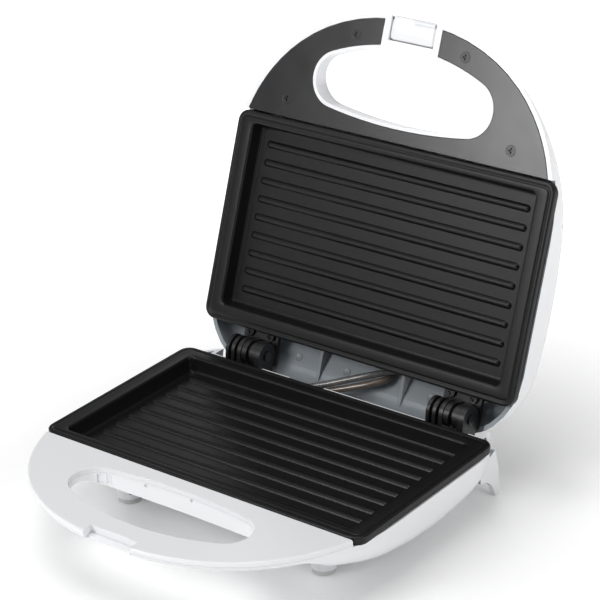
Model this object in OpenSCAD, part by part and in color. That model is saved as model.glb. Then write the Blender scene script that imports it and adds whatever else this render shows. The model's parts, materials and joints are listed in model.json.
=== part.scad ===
// Sandwich toaster: two moulded half housings with ribbed cooking plates, joined by a rear hinge.
// Millimetres. Each half is drawn with its depth along +Z, counted from the plane where the
// closed halves meet, and about the middle of the plates. The base half is then turned over,
// the lid half is swung open to its stop, and both are set on the table.

/* [Housings] */
// Width of both housings
body_w = 220; // [216:1:230]
// Reach of the handles in front of the middle of the plates
handle_reach = 135; // [132:1:140]
// Reach of the housings behind the middle of the plates
rear_reach = 90; // [88:1:94]
// Radius of the rear corners, seen from above
rear_corner_r = 45; // [40:1:50]
// Height of the lid above the meeting plane
lid_h = 38; // [36:1:44]
// Depth of the base's belly below the meeting plane
base_h = 35; // [33:1:38]
// Height of the meeting plane above the table
deck_h = 43; // [41:1:50]
// Thickness of each handle at its front edge
grip_h = 7; // [7:0.5:9]
// Wall of the moulded housings
wall = 2.5; // [2:0.1:3]
// Level of the housing rims that carry the plates
rim_level = 5; // [4.6:0.1:5.4]
// Distance of the handle faces from the meeting plane
face_gap = 0.6; // [0.4:0.1:1]
// Thickness of the two handle covers
cover_t = 2.4; // [2:0.1:2.6]

/* [Finger openings] */
// Edge next to the plates, from the middle of the plates
finger_near = 73.5; // [72:0.5:76]
// Width of each grip at the middle
grip_w = 19.5; // [19:0.5:22]
// Radius of the edge next to the plates
finger_near_r = 300; // [250:5:400]
// Radius of the edge next to the grip
finger_far_r = 128; // [120:1:140]
// Radius of the rounded ends
finger_end_r = 14.6; // [13:0.2:16]
// Wall round the openings
finger_wall = 2; // [1.6:0.1:2.4]

/* [Cooking plates] */
// Rim of the housings beside each plate
plate_inset = 1; // [1:0.1:3]
// Depth of each plate from front to rear
plate_d = 126; // [124:0.5:127]
// Corner radius of each plate
plate_r = 7; // [5:0.5:9]
// Distance of each rim from the meeting plane
plate_gap = 0.2; // [0.15:0.05:0.4]
// Thickness of the cast plate
cast = 2; // [1.6:0.1:2.2]
// Width of the flat rim at the ends
rim_end = 11; // [10:0.2:13]
// Width of the flat rim in front of the tray
rim_front = 7; // [6.6:0.2:9]
// Width of the flat rim behind the tray
rim_rear = 10; // [9:0.2:12]
// Depth of the tray below its rim
tray_depth = 9.3; // [8:0.1:9.6]
// Slant of the tray walls over their height
tray_draft = 1.4; // [0.8:0.1:3]
// Number of ridges on each plate
ridges = 9; // [5:1:9]
// Distance between ridges
ridge_pitch = 10.9; // [9:0.1:11]
// Gap between the ends of the ridges and the tray wall
ridge_gap = 6.8; // [5.8:0.5:20.8]
// Radius of the ridge section
ridge_r = 2.2; // [1.8:0.1:2.6]
// Height of the ridges above the tray
ridge_h = 1.5; // [1:0.1:1.7]

/* [Hinge] */
// Pin axis behind the plates
hinge_back = 12.6; // [12:0.1:13.5]
// Pin axis above the meeting plane
hinge_z = 0.8; // [0.4:0.1:1]
// Opening angle of the lid at its stop
lid_open = 110; // [100:1:110]
// Middle of each hinge from the side of the housings
hinge_inset = 38.5; // [37:0.5:40]
// Radius of the base knuckles
ear_r = 7.8; // [7.2:0.1:8]
// Radius of the lid knuckle
knuckle_r = 7.2; // [6.6:0.1:7.4]
// Width of the lid knuckle
knuckle_w = 9.4; // [8:0.1:10]
// Gap between knuckles along the pin
knuckle_gap = 0.3; // [0.2:0.05:0.5]
// Width of the inner base ear
ear_inner = 11; // [9:0.5:11]
// Width of the outer base ear
ear_outer = 4; // [3:0.5:4]
// Thickness of the hinge plates
hinge_t = 3; // [2.6:0.1:3.2]
// Radius of the hinge pins
pin_r = 2; // [1.5:0.1:2.5]
// Radial play of the knuckles on their pin
pin_fit = 0.05; // [0.02:0.01:0.1]

/* [Latch] */
// Width of the clip
clip_w = 30; // [26:0.5:31]
// Play of the clip at each end of its slot
clip_play = 0.4; // [0.3:0.05:0.6]
// Pivot of the clip behind the front edge of the lid
clip_back = 2.8; // [2.6:0.1:3]
// Pivot of the clip above the meeting plane
clip_z = 2.9; // [2.8:0.05:3]
// Radius of the clip's barrel
clip_r = 1.9; // [1.7:0.05:2]
// Thickness of the clip
clip_t = 2.4; // [2.2:0.1:2.6]
// Reach of the hook beyond the middle of the clip
hook_reach = 2.5; // [2.3:0.05:2.6]
// Thickness of the hook
hook_t = 1.6; // [1.4:0.1:1.8]
// Gap between the hook and the catch when closed
hook_play = 0.4; // [0.3:0.05:0.6]
// Radius of the clip's pin
clip_pin_r = 1; // [0.8:0.05:1.1]
// Swing of the clip from its slot until it is clear of the catch
clip_swing = 120; // [100:5:120]

/* [Heating] */
// Diameter of the tubular elements
element_d = 5; // [4.5:0.1:5.2]
// Distance between the two runs of an element
element_gap = 56; // [48:1:64]
// Distance from the bend of each element to the end of the plates
element_bend = 47; // [43:1:57]
// Sheet of the reflector pans
pan_t = 0.7; // [0.5:0.1:0.9]
// Depth of the pans from the meeting plane
pan_depth = 17.6; // [17.4:0.1:18]

/* [Lamps] */
// Distance between the two indicator lamps
lamp_pitch = 18; // [16:1:24]
// Place of the lamps in front of the middle of the plates
lamp_y = 34; // [28:1:36]
// Radius of each lens
lens_r = 3.5; // [3:0.1:4]

/* [Feet] */
// Front feet from the side of the housing
foot_inset = 42; // [34:1:50]
// Front feet in front of the middle of the plates
foot_y = 40; // [36:1:46]
// Radius of the rubber pads
foot_r = 6.5; // [5.5:0.1:7]
// Height of the rubber pads
foot_h = 3; // [2.4:0.1:3.4]
// Rear legs from the side of the housing
fin_inset = 11.5; // [10:0.5:12.5]
// Thickness of the rear legs at the root
fin_t = 3; // [2.6:0.1:3.4]

/* [Hidden] */
$fn = 64;

// ---- plan and height of the housings
half_w = body_w / 2;
plate_w = body_w - 2 * plate_inset;
hinge_x = half_w - hinge_inset;
hinge_y = plate_d / 2 + hinge_back;
foot_x = half_w - foot_inset;
fin_x = half_w - fin_inset;
finger_far = handle_reach - grip_w;
front_turn = 30;                       // the plan starts to round this far in front of the middle
front_power = 2.2;
front_depth = handle_reach - front_turn;
side_end = rear_reach - rear_corner_r;
front_angles = [90, 84, 78, 72, 66, 60, 54, 48, 43, 38, 34, 30.5, 27, 24, 21, 18, 14, 10, 5, 0];
side_steps = 4;
corner_steps = 8;
crown_y = 8;                           // highest line of both housings
thin_end = 9;                          // depth of the flat end of the handles
crown_reach = handle_reach - thin_end + crown_y;

function superellipse(a, b, t) =
    [a * pow(cos(t), 2 / front_power), -front_turn - b * pow(sin(t), 2 / front_power)];
function half_outline(d) = concat(
    [for (t = front_angles) superellipse(half_w - d, front_depth - d, t)],
    [for (i = [1 : side_steps])
        [half_w - d, -front_turn + (side_end + front_turn) * i / side_steps]],
    [for (i = [1 : corner_steps]) let (t = 90 * i / corner_steps, r = rear_corner_r - d)
        [half_w - rear_corner_r + r * cos(t), side_end + r * sin(t)]]);
ring_half = len(half_outline(0)) - 1;
ring_n = 2 * ring_half + 1;
function outline(d) = let (h = half_outline(d))
    concat(h, [for (i = [ring_half : -1 : 1]) [-h[i].x, h[i].y]]);

function smooth(t) = let (u = min(max(t, 0), 1)) u * u * (3 - 2 * u);
function crown(y) = abs(y - crown_y) > crown_reach ? 0 : pow(cos(90 * (y - crown_y) / crown_reach), 2);
belly_rise = 18;                       // the belly of the base rises below the finger opening
belly_full = -finger_near - 0.5;
belly_front = belly_full - belly_rise;
function belly(y) = smooth((y - belly_front) / (belly_full - belly_front));
function swell(y, lid) = lid ? crown(y) : crown(y) * belly(y);
function depth_at(y, lid) = grip_h + ((lid ? lid_h : base_h) - grip_h) * swell(y, lid);
edge_small = 5;
edge_growth = 15;
function edge_r(y, lid, z0) =
    min(edge_small + edge_growth * swell(y, lid), 0.8 * (depth_at(y, lid) - z0));

// One ring of the shell: its wall line drawn in by d, then round the edge by the angle t
round_angles = [0, 20, 40, 60, 75, 90];
side_draft = 0.8;
function shell_ring(d, t, lid, z0) = let (o = outline(0), w = outline(d))
    [for (i = [0 : ring_n - 1]) let (y = o[i].y, r = max(edge_r(y, lid, z0) - d, 0.6),
        top = depth_at(y, lid) - d, m = d + side_draft + r * (1 - cos(t)), q = outline_point(i, m))
        [q.x, q.y, top - r + r * sin(t)]];
function outline_point(i, d) = i <= ring_half ? half_point(i, d)
    : let (p = half_point(ring_n - i, d)) [-p.x, p.y];
front_n = len(front_angles);
function half_point(i, d) =
    i < front_n ? superellipse(half_w - d, front_depth - d, front_angles[i])
    : i < front_n + side_steps ?
        [half_w - d, -front_turn + (side_end + front_turn) * (i - front_n + 1) / side_steps]
    : let (t = 90 * (i - front_n - side_steps + 1) / corner_steps, r = rear_corner_r - d)
        [half_w - rear_corner_r + r * cos(t), side_end + r * sin(t)];
function shell_rings(d, lid, z0, z_rim) = concat(
    [[for (i = [0 : ring_n - 1]) let (q = outline_point(i, d)) [q.x, q.y, z_rim]]],
    [for (t = round_angles) shell_ring(d, t, lid, z0)]);

// Faces between two rings, and the flat strips that close the last one from side to side
function wall_faces(k0, flip) = [for (i = [0 : ring_n - 1], s = [0, 1])
    let (j = (i + 1) % ring_n, a = k0 + i, b = k0 + ring_n + i, c = k0 + ring_n + j, e = k0 + j,
        f = s == 0 ? [a, b, c] : [a, c, e]) flip ? [f[2], f[1], f[0]] : f];
function cap_faces(k0, flip) = [for (i = [0 : ring_half - 1])
    let (c = ring_n - i - 1, f = i == 0 ? [0, c, 1] : [i, c + 1, c, i + 1], n = len(f))
    [for (k = [0 : n - 1]) k0 + f[flip ? n - 1 - k : k]]];
ring_count = 1 + len(round_angles);

module housing_form(lid, z0, d = 0, z_rim = 0) {
    rings = shell_rings(d, lid, z0, z_rim == 0 ? z0 : z_rim);
    points = [for (r = rings) for (p = r) p];
    faces = concat([[for (i = [0 : ring_n - 1]) i]],
        [for (k = [0 : ring_count - 2]) for (f = wall_faces(k * ring_n, false)) f],
        cap_faces((ring_count - 1) * ring_n, false));
    polyhedron(points, faces, convexity = 6);
}

// Open shell in one piece: outside, rim and inside
module housing_shell(lid, z0) {
    outer = [for (r = shell_rings(0, lid, z0, z0)) for (p = r) p];
    inner = [for (r = shell_rings(wall, lid, z0, z0)) for (p = r) p];
    k_in = ring_count * ring_n;
    rim = [for (i = [0 : ring_n - 1], s = [0, 1]) let (j = (i + 1) % ring_n)
        s == 0 ? [i, j, k_in + j] : [i, k_in + j, k_in + i]];
    faces = concat(rim,
        [for (k = [0 : ring_count - 2]) for (f = wall_faces(k * ring_n, false)) f],
        cap_faces(k_in - ring_n, false),
        [for (k = [0 : ring_count - 2]) for (f = wall_faces(k_in + k * ring_n, true)) f],
        cap_faces(2 * k_in - ring_n, true));
    polyhedron(concat(outer, inner), faces, convexity = 8);
}

// ---- placing of the two halves
function opened_y(y, z) =
    hinge_y + (y - hinge_y) * cos(lid_open) + (z - hinge_z) * sin(lid_open);
function opened_z(y, z) =
    hinge_z - (y - hinge_y) * sin(lid_open) + (z - hinge_z) * cos(lid_open);
rear_most = max([for (r = shell_rings(0, true, face_gap, face_gap)) for (p = r) opened_y(p.y, p.z)]);
stand_y = (handle_reach - rear_most) / 2;

module set_down() translate([0, stand_y, deck_h]) children();
module base_half() set_down() mirror([0, 0, 1]) children();
module lid_half() set_down() translate([0, hinge_y, hinge_z]) rotate([-lid_open, 0, 0])
    translate([0, -hinge_y, -hinge_z]) children();
module both_sides() for (s = [-1, 1]) on_side(s) children();
module on_side(s) if (s > 0) children(); else mirror([1, 0, 0]) children();
// An outline drawn in Y and Z, extruded along X from x0
module across(x0, w) translate([x0, 0, 0]) rotate([90, 0, 90]) linear_extrude(w) children();
module bar(x0, x1, y0, y1, z0, z1) translate([x0, y0, z0]) cube([x1 - x0, y1 - y0, z1 - z0]);

white = [0.93, 0.93, 0.94];
black = [0.13, 0.13, 0.14];
coated = [0.16, 0.16, 0.17];
steel = [0.75, 0.76, 0.78];

// ---- finger openings: two wide arcs joined by round ends
far_c = finger_far_r - finger_far;
near_c = -finger_near - finger_near_r;
end_r = min(finger_end_r, 0.35 * (finger_far - finger_near));
far_in = finger_far_r - end_r;
near_in = finger_near_r - end_r;
end_y = (near_in * near_in - far_in * far_in) / (2 * (far_c - near_c)) + (far_c + near_c) / 2;
end_x = sqrt(far_in * far_in - (end_y - far_c) * (end_y - far_c));
far_turn = atan2(end_y - far_c, end_x);
near_turn = atan2(end_y - near_c, end_x);
function arc(x, y, r, a0, a1, n) = [for (i = [0 : n - 1]) let (t = a0 + (a1 - a0) * i / n)
    [x + r * cos(t), y + r * sin(t)]];
module finger_shape(d) polygon(concat(
    arc(0, far_c, finger_far_r + d, -180 - far_turn, far_turn, 20),
    arc(end_x, end_y, end_r + d, far_turn, near_turn, 18),
    arc(0, near_c, finger_near_r + d, near_turn, 180 - near_turn, 12),
    arc(-end_x, end_y, end_r + d, 180 - near_turn, 180 - far_turn, 18)));

// ---- handle covers
cover_edge = plate_d / 2 + 1;          // covers end this far in front of the plates' middle
parting = face_gap + cover_t + 0.5;    // level where the base housing meets its cover
cover_fit = 0.3;
grip_screw = [37.2, 16];               // from the middle, and from the front edge
side_screw = [33, 10.5];               // from the side, and from the covers' edge
cover_screws = [[grip_screw.x, grip_screw.y - handle_reach],
    [half_w - side_screw.x, -cover_edge - side_screw.y]];
screw_r = 1.5;
screw_play = 0.05;
head_r = 2.8;
module cover_plan(inset) intersection() {
    polygon(outline(inset));
    translate([-half_w, -handle_reach - 1]) square([body_w, handle_reach + 1 - cover_edge]);
}
// Skirt at the rear edge of a cover, down to the rim level
module cover_lip(inset) intersection() {
    translate([0, 0, face_gap]) linear_extrude(rim_level - face_gap) cover_plan(inset);
    bar(-half_w, half_w, -cover_edge - 1.6, -cover_edge, 0, rim_level);
}

// ---- latch
clip_y = -(handle_reach - clip_back);
clip_half = clip_w / 2;
slot_half = clip_half + clip_play;
hook_at = clip_z + grip_h + hook_play; // from the pivot to the working face of the hook
clip_l = hook_at + hook_t;
slot_rear = clip_y + clip_l + 0.5;
slot_floor = clip_z + hook_reach + 0.2;
block_half = slot_half + 4;            // solid cheeks beside the slot hold the pin
catch_half = slot_half + 0.6;
lip_front = clip_y + clip_t / 2 + 0.3; // front edge of the catch under which the hook grips
catch_floor = grip_h - 2;
catch_l = 8;
catch_rear = catch_l - handle_reach;

// ---- rear bay, open for the lid to turn through
bay_side = 16;
bay_half = half_w - bay_side;
bay_gap = 7.5;                         // between the lower plate and the bay
bay_front = plate_d / 2 + bay_gap;
arm_drop = 14.8;                       // from the pin down to the base hinge plates
tower_top = arm_drop + hinge_t - hinge_z;
tower_in = hinge_x - 13.2;
tower_out = hinge_x + 14;
tower_rear = hinge_y + 3.9;
hinge_front = 13.6;                    // the hinge plates reach this far in front of the pin
hinge_rear = 6.4;
arm_front = hinge_y - hinge_front;

// ---- places of the pan fixings and of the covers' bosses
post_x = plate_w / 2 - 43;
post_y = plate_d / 2 - 18;
pan_posts = [[-post_x, 0], [post_x, 0], [0, -post_y], [0, post_y]];
post_r = 5;
boss_r = 3.4;

module posts(lid) for (p = pan_posts) translate([p.x, p.y, pan_depth]) cylinder(r = post_r, h = 30);
module post_bores() for (p = pan_posts) translate([p.x, p.y, pan_depth - 0.1])
    cylinder(r = screw_r + screw_play, h = 6.1);

fin_y = rear_reach - 28;               // where the rear legs leave the belly
fin_points = [[fin_y, 20], [fin_y + 14.5, 14], [fin_y + 17.6, 24], [fin_y + 18.9, 36],
    [fin_y + 18.3, deck_h], [fin_y + 15, deck_h], [fin_y, 30]];
fin_hollow_r = 17.2;
leg_top = depth_at(-foot_y, false) - 6;
foot_pin_r = 2.5;
foot_pin_l = 3.6;
gland_y = 40;
gland_x = 30;
gland_r = 5.4;
gland_seat_r = 9.5;
gland_grip = 6.8;                      // from the root of the outer collar to the inner one
gland_depth = depth_at(gland_y - gland_seat_r, false) - 0.3;
block_h = 6;
block_w = 22;
block_l = 12;
base_block_x = -44;
lid_block_x = 11;
lead_end_y = 50;                       // where the leads meet the block of the base
block_seat = 3.34384;                   // from the belly's outside to the base's block
base_block_depth = depth_at(lead_end_y, false) - block_seat - block_h;
lid_block_depth = 19.4;
lid_block_y = 39;
lead_notch = [-38, -13];
lead_notch_h = 15.6;
rear_cover_screw = [half_w - 26, -cover_edge - 6];

module base_housing() color(white) base_half() difference() {
    union() {
        housing_shell(false, parting);
        intersection() {
            housing_form(false, parting);
            union() {
                linear_extrude(base_h) finger_shape(finger_wall);
                bar(-block_half, block_half, -handle_reach, catch_rear + 3, 0, base_h);
                posts(false);
                bar(-bay_half - wall, bay_half + wall, bay_front - wall, bay_front, rim_level, base_h);
                both_sides() bar(bay_half, bay_half + wall, bay_front - wall, rear_reach,
                    rim_level, base_h);
                both_sides() bar(tower_in, tower_out, arm_front, tower_rear, tower_top, base_h);
                both_sides() for (p = [cover_screws[0], rear_cover_screw])
                    translate([p.x, p.y, parting + 1]) cylinder(r = boss_r + 0.6, h = base_h);
                bar(base_block_x, base_block_x + block_w, lead_end_y - block_l, lead_end_y,
                    base_block_depth + block_h, base_h);
                translate([gland_x, gland_y, gland_depth - gland_grip + 0.2])
                    cylinder(r = gland_seat_r, h = 10);
            }
        }
        translate([gland_x, gland_y, gland_depth - 2]) cylinder(r = gland_seat_r, h = 2.6);
        both_sides() translate([foot_x, -foot_y, leg_top])
            cylinder(r1 = foot_r + 3.5, r2 = foot_r + 0.8, h = deck_h - foot_h - leg_top);
        both_sides() across(fin_x - fin_t / 2, fin_t) difference() {
            polygon(fin_points);
            translate([fin_y - 2, deck_h + 3]) circle(fin_hollow_r);
        }
    }
    translate([0, 0, -1]) linear_extrude(base_h + 2) finger_shape(0);
    bar(-half_w - 1, half_w + 1, -cover_edge, rear_reach + 1, 0, rim_level);
    difference() {
        bar(-bay_half, bay_half, bay_front, rear_reach + 1, 0, base_h + 1);
        both_sides() bar(tower_in, tower_out, bay_front - 1, tower_rear, tower_top, base_h + 2);
    }
    both_sides() bar(tower_in, tower_out + 1, arm_front - 0.4, bay_front + 1, 0, tower_top);
    bar(lead_notch[0], lead_notch[1], bay_front - wall - 1, bay_front + 1, 0, lead_notch_h);
    bar(-catch_half, catch_half, -handle_reach - 1, catch_rear, 0, catch_floor);
    bar(-catch_half, catch_half, -handle_reach - 1, lip_front, 0, base_h);
    post_bores();
    both_sides() for (p = [cover_screws[0], rear_cover_screw]) translate([p.x, p.y, 0]) {
        cylinder(r = screw_r + screw_play, h = base_h + 1);
        translate([0, 0, cover_seat(p) + 1.8]) cylinder(r = head_r + 0.3, h = base_h);
    }
    translate([gland_x, gland_y, gland_depth - 9]) cylinder(r = gland_r + 0.1, h = 12);
    both_sides() translate([foot_x, -foot_y, deck_h - foot_h - foot_pin_l - 0.4])
        cylinder(r = foot_pin_r + screw_play, h = foot_pin_l + 1.4);
    for (c = [-1, 1], y = base_screw_y) translate([c * hinge_x + 4, y, tower_top - 1])
        cylinder(r = screw_r + screw_play, h = 7);
}
function cover_seat(p) = depth_at(p.y, false) - 3.4;

module handle_cover() color(white) base_half() difference() {
    union() {
        intersection() {
            cover_edge_form();
            translate([0, 0, -1]) linear_extrude(8) cover_plan(0);
        }
        cover_lip(wall + cover_fit);
        both_sides() translate([rear_cover_screw.x, rear_cover_screw.y, face_gap + 1])
            cylinder(r = boss_r, h = parting + 1 - face_gap - 1 - cover_fit / 3);
        both_sides() translate([cover_screws[0].x, cover_screws[0].y, face_gap + 1])
            cylinder(r = boss_r, h = parting - face_gap);
    }
    linear_extrude(10) finger_shape(0);
    translate([0, 0, face_gap + cover_t]) linear_extrude(2) difference() {
        cover_plan(wall + cover_fit);
        finger_shape(finger_wall + cover_fit);
        both_sides() for (p = [cover_screws[0], rear_cover_screw])
            translate([p.x, p.y]) circle(boss_r);
        translate([-half_w, -cover_edge - 1.6]) square([body_w, 2]);
    }
    bar(-catch_half, catch_half, -handle_reach - 1, catch_rear, 0, parting + 1);
    both_sides() for (p = [cover_screws[0], rear_cover_screw])
        translate([p.x, p.y, face_gap + 1]) cylinder(r = screw_r + screw_play, h = 6);
}
// Slab with a softly rounded top edge
module cover_edge_form() {
    levels = [[parting, 0], [face_gap + 1.2, 0], [face_gap + 0.35, 0.35], [face_gap, 1.2]];
    points = [for (v = levels) for (i = [0 : ring_n - 1]) let (q = outline_point(i, v[1]))
        [q.x, q.y, -v[0]]];
    faces = concat([[for (i = [0 : ring_n - 1]) i]],
        [for (k = [0 : 2]) for (f = wall_faces(k * ring_n, false)) f],
        [[for (i = [ring_n - 1 : -1 : 0]) 3 * ring_n + i]]);
    mirror([0, 0, 1]) polyhedron(points, faces, convexity = 4);
}

// ---- screws: drawn head up at z = 0, shank down
module cross_slot(top) for (a = [0, 90]) rotate(a)
    translate([-1.6, -0.4, top - 1]) cube([3.2, 0.8, 2]);
module pan_screw(l) difference() {
    union() {
        cylinder(r = head_r, h = 1.8);
        translate([0, 0, -l]) cylinder(r = screw_r, h = l + 0.5);
    }
    cross_slot(1.8);
}
sunk_h = 1.6;
module sunk_screw(l) difference() {
    union() {
        translate([0, 0, -sunk_h]) cylinder(r1 = screw_r, r2 = head_r + 0.2, h = sunk_h);
        translate([0, 0, -l]) cylinder(r = screw_r, h = l);
    }
    cross_slot(0);
}

module handle_cover_screws() color(steel) base_half()
    both_sides() for (p = [cover_screws[0], rear_cover_screw]) let (s = cover_seat(p))
        translate([p.x, p.y, s + 1.8]) pan_screw(s + 1.8 - face_gap - 1.4);

module cord_gland() color(black) base_half() translate([gland_x, gland_y, gland_depth])
    rotate_extrude() polygon([[3.6, -gland_grip - 0.8], [7.6, -gland_grip - 0.8],
        [7.6, -gland_grip], [gland_r, -gland_grip], [gland_r, 0.6], [8.5, 0.6], [8, 2.4], [5, 4],
        [3.6, 4]]);

module front_feet() color(black) base_half() both_sides()
    translate([foot_x, -foot_y, deck_h - foot_h]) {
        cylinder(r = foot_r, h = foot_h);
        translate([0, 0, -foot_pin_l]) cylinder(r = foot_pin_r, h = foot_pin_l + 0.4);
    }

// ---- cooking plates
tray_x = plate_w / 2 - rim_end;
tray_y0 = -plate_d / 2 + rim_front;
tray_y1 = plate_d / 2 - rim_rear;
tray_mid = (tray_y0 + tray_y1) / 2;
ridge_l = 2 * (tray_x - ridge_gap - ridge_r);
tray_r = 6;
bead_in = 2.5;                         // groove round the rim, from the edge of the plate
bead_w = 1.2;
floor_level = plate_gap + tray_depth;
tab_x = plate_w / 2 - cast;            // tabs inside the skirt hold the plate in its housing
tab_t = 1.2;
tab_y = 30;
module rounded(w, d, r) {
    square([w - 2 * r, d], center = true);
    square([w, d - 2 * r], center = true);
    for (x = [-1, 1], y = [-1, 1]) translate([x * (w / 2 - r), y * (d / 2 - r)]) circle(r);
}
// Tub with sloping sides: half sizes at the top, slant, corner radius
module tub(hx, hy, r, z0, z1, slant) hull() for (x = [-1, 1], y = [-1, 1])
    translate([x * (hx - r), y * (hy - r), z0])
        cylinder(r1 = r, r2 = r - slant, h = z1 - z0, $fn = 32);
module plate() difference() {
    tray_hy = (tray_y1 - tray_y0) / 2;
    union() {
        translate([0, 0, plate_gap]) linear_extrude(cast) rounded(plate_w, plate_d, plate_r);
        translate([0, 0, plate_gap]) linear_extrude(rim_level - plate_gap) difference() {
            rounded(plate_w, plate_d, plate_r);
            rounded(plate_w - 2 * cast, plate_d - 2 * cast, plate_r - cast);
        }
        translate([0, tray_mid, 0]) tub(tray_x + cast, tray_hy + cast, tray_r + cast,
            plate_gap + 0.4, floor_level + cast, tray_draft);
        both_sides() for (y = [-1, 1]) bar(tab_x - tab_t, tab_x, y * tab_y - 4, y * tab_y + 4,
            plate_gap + cast / 2, rim_level + 4);
    }
    difference() {
        translate([0, tray_mid, 0]) tub(tray_x, tray_hy, tray_r, 0, floor_level, tray_draft);
        for (i = [0 : ridges - 1]) translate([0, tray_mid + (i - (ridges - 1) / 2) * ridge_pitch,
            floor_level - ridge_h + ridge_r]) {
            rotate([0, 90, 0]) cylinder(r = ridge_r, h = ridge_l, center = true, $fn = 32);
            for (s = [-1, 1]) translate([s * ridge_l / 2, 0, 0]) sphere(ridge_r, $fn = 32);
        }
    }
    translate([0, tray_mid, 0]) tub(tray_x + 0.9, tray_hy + 0.9, tray_r + 0.9, -1,
        plate_gap + 1, 1.8);
    linear_extrude(plate_gap + 0.5) difference() {
        rounded(plate_w - 2 * bead_in, plate_d - 2 * bead_in, plate_r - bead_in);
        rounded(plate_w - 2 * (bead_in + bead_w), plate_d - 2 * (bead_in + bead_w),
            plate_r - bead_in - bead_w);
    }
}

// ---- reflector pans under the plates
pan_play = 0.3;
pan_flange_x = tab_x - tab_t - pan_play;
pan_flange_y = plate_d / 2 - cast - pan_play;
pan_hx = pan_flange_x - 4;
pan_hy = pan_flange_y - 1.5;
pan_r = 10;
pan_slant = 2.4;
element_z = floor_level + cast + 0.2 + element_d / 2;
element_foot = 31;                     // from the end of the plates to the turned-down ends
element_x0 = element_foot - plate_w / 2;
element_x1 = plate_w / 2 - element_bend;
module pan() difference() {
    union() {
        translate([0, 0, plate_gap + cast]) linear_extrude(pan_t)
            rounded(2 * pan_flange_x, 2 * pan_flange_y, 5);
        tub(pan_hx, pan_hy, pan_r, plate_gap + cast, pan_depth, pan_slant);
    }
    tub(pan_hx - pan_t, pan_hy - pan_t, pan_r - pan_t, plate_gap + cast - 0.1,
        pan_depth - pan_t, pan_slant);
    for (p = pan_posts) translate([p.x, p.y, pan_depth - 2]) cylinder(r = screw_r + 0.2, h = 3);
    for (s = [-1, 1]) translate([element_x0, s * element_gap / 2, pan_depth - 2])
        cylinder(r = element_d / 2 + 0.8, h = 3);
}
module pan_screws() for (p = pan_posts) translate([p.x, p.y, pan_depth - pan_t])
    mirror([0, 0, 1]) pan_screw(5);

// U-shaped tubular element with both ends turned down through the pan
module element() translate([0, 0, element_z]) {
    for (s = [-1, 1]) translate([element_x0, s * element_gap / 2, 0]) {
        rotate([0, 90, 0]) cylinder(d = element_d, h = element_x1 - element_x0);
        sphere(d = element_d);
        cylinder(d = element_d, h = 8);
        translate([0, 0, 8]) cylinder(d = 2.4, h = 4);
    }
    translate([element_x1, 0, 0]) rotate([0, 0, -90]) rotate_extrude(angle = 180)
        translate([element_gap / 2, 0]) circle(d = element_d);
}

// Block whose rear face, at y1, takes the leads
module terminal_box(x0, y1, z0) difference() {
    bar(x0, x0 + block_w, y1 - block_l, y1, z0, z0 + block_h);
    for (i = [0 : 2]) translate([x0 + 4 + 7 * i, y1 - block_l / 2, z0 - 1])
        cylinder(r = 1.7, h = 4);
}

module lower_plate() color(coated) base_half() plate();
module lower_reflector() color(steel) base_half() pan();
module lower_reflector_screws() color(steel) base_half() pan_screws();
module lower_element() color(steel) base_half() element();
module thermal_fuse() color(steel) base_half() translate([20, -16, pan_depth]) {
    bar(-3, 3, -4, 4, 0, 0.6);
    translate([-9, 0, 2.4]) rotate([0, 90, 0]) cylinder(r = 1.9, h = 18);
}
module terminal_block() color(white) base_half() terminal_box(base_block_x, lead_end_y, base_block_depth);

// ---- hinges, drawn about the pin axis with +Z up; u0 is where the inner ear starts
u0 = -12;
u_knuckle = u0 + ear_inner + knuckle_gap;
u_outer = u_knuckle + knuckle_w + knuckle_gap;
u1 = u_outer + ear_outer;
lean = lid_open - 90;
arm_in = ear_r + 0.4;                  // lid hinge plate passes over the base ears
base_screw_y = [hinge_y - 9.8, hinge_y - 2];
lid_screw_u = [-7, 8];
lid_screw_y = -10.4;
function ear_foot() = let (l = (arm_drop - ear_r * sin(lean)) / cos(lean))
    [ear_r * cos(lean) - l * sin(lean), -arm_drop];
module ear() union() {
    circle(ear_r);
    polygon([[-ear_r, 0], [0, 0], [ear_r * cos(lean), -ear_r * sin(lean)], ear_foot(),
        [-9.6, -arm_drop]]);
}
module on_pin(c) set_down() translate([c * hinge_x, hinge_y, hinge_z]) children();
module base_hinge(c) color(black) on_pin(c) difference() {
    union() {
        across(u0, ear_inner) ear();
        across(u_outer, ear_outer) ear();
        bar(u0, u1, arm_front - hinge_y, ear_foot().x, -arm_drop - hinge_t, -arm_drop);
    }
    translate([u0 - 1, 0, 0]) rotate([0, 90, 0]) cylinder(r = pin_r + pin_fit, h = u1 - u0 + 2);
    for (y = base_screw_y) translate([4, y - hinge_y, -arm_drop - hinge_t - 1])
        cylinder(r = screw_r + 0.1, h = hinge_t + 2);
}
module lid_hinge(c) color(black) lid_half() translate([c * hinge_x, hinge_y, hinge_z]) difference() {
    union() {
        across(u_knuckle, knuckle_w) {
            circle(knuckle_r);
            polygon([[-knuckle_r, 0], [knuckle_r, 0], [hinge_rear, arm_in + 0.1], [-7.2, arm_in + 0.1]]);
        }
        bar(u0, u1, -hinge_front, hinge_rear, arm_in, arm_in + hinge_t);
    }
    translate([u0 - 1, 0, 0]) rotate([0, 90, 0]) cylinder(r = pin_r + pin_fit, h = u1 - u0 + 2);
    for (u = lid_screw_u) translate([u, lid_screw_y, arm_in - 1])
        cylinder(r = screw_r + 0.1, h = hinge_t + 2);
}
module hinge_pin(c) color(steel) on_pin(c) {
    translate([u0 - 0.2, 0, 0]) rotate([0, 90, 0]) cylinder(r = pin_r, h = u1 - u0 + 0.6);
    translate([u1 + 0.1, 0, 0]) rotate([0, 90, 0]) cylinder(r = pin_r + 1, h = 0.9);
}
module base_hinge_left() base_hinge(-1);
module base_hinge_right() base_hinge(1);
module lid_hinge_left() lid_hinge(-1);
module lid_hinge_right() lid_hinge(1);
module hinge_pin_left() hinge_pin(-1);
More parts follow.
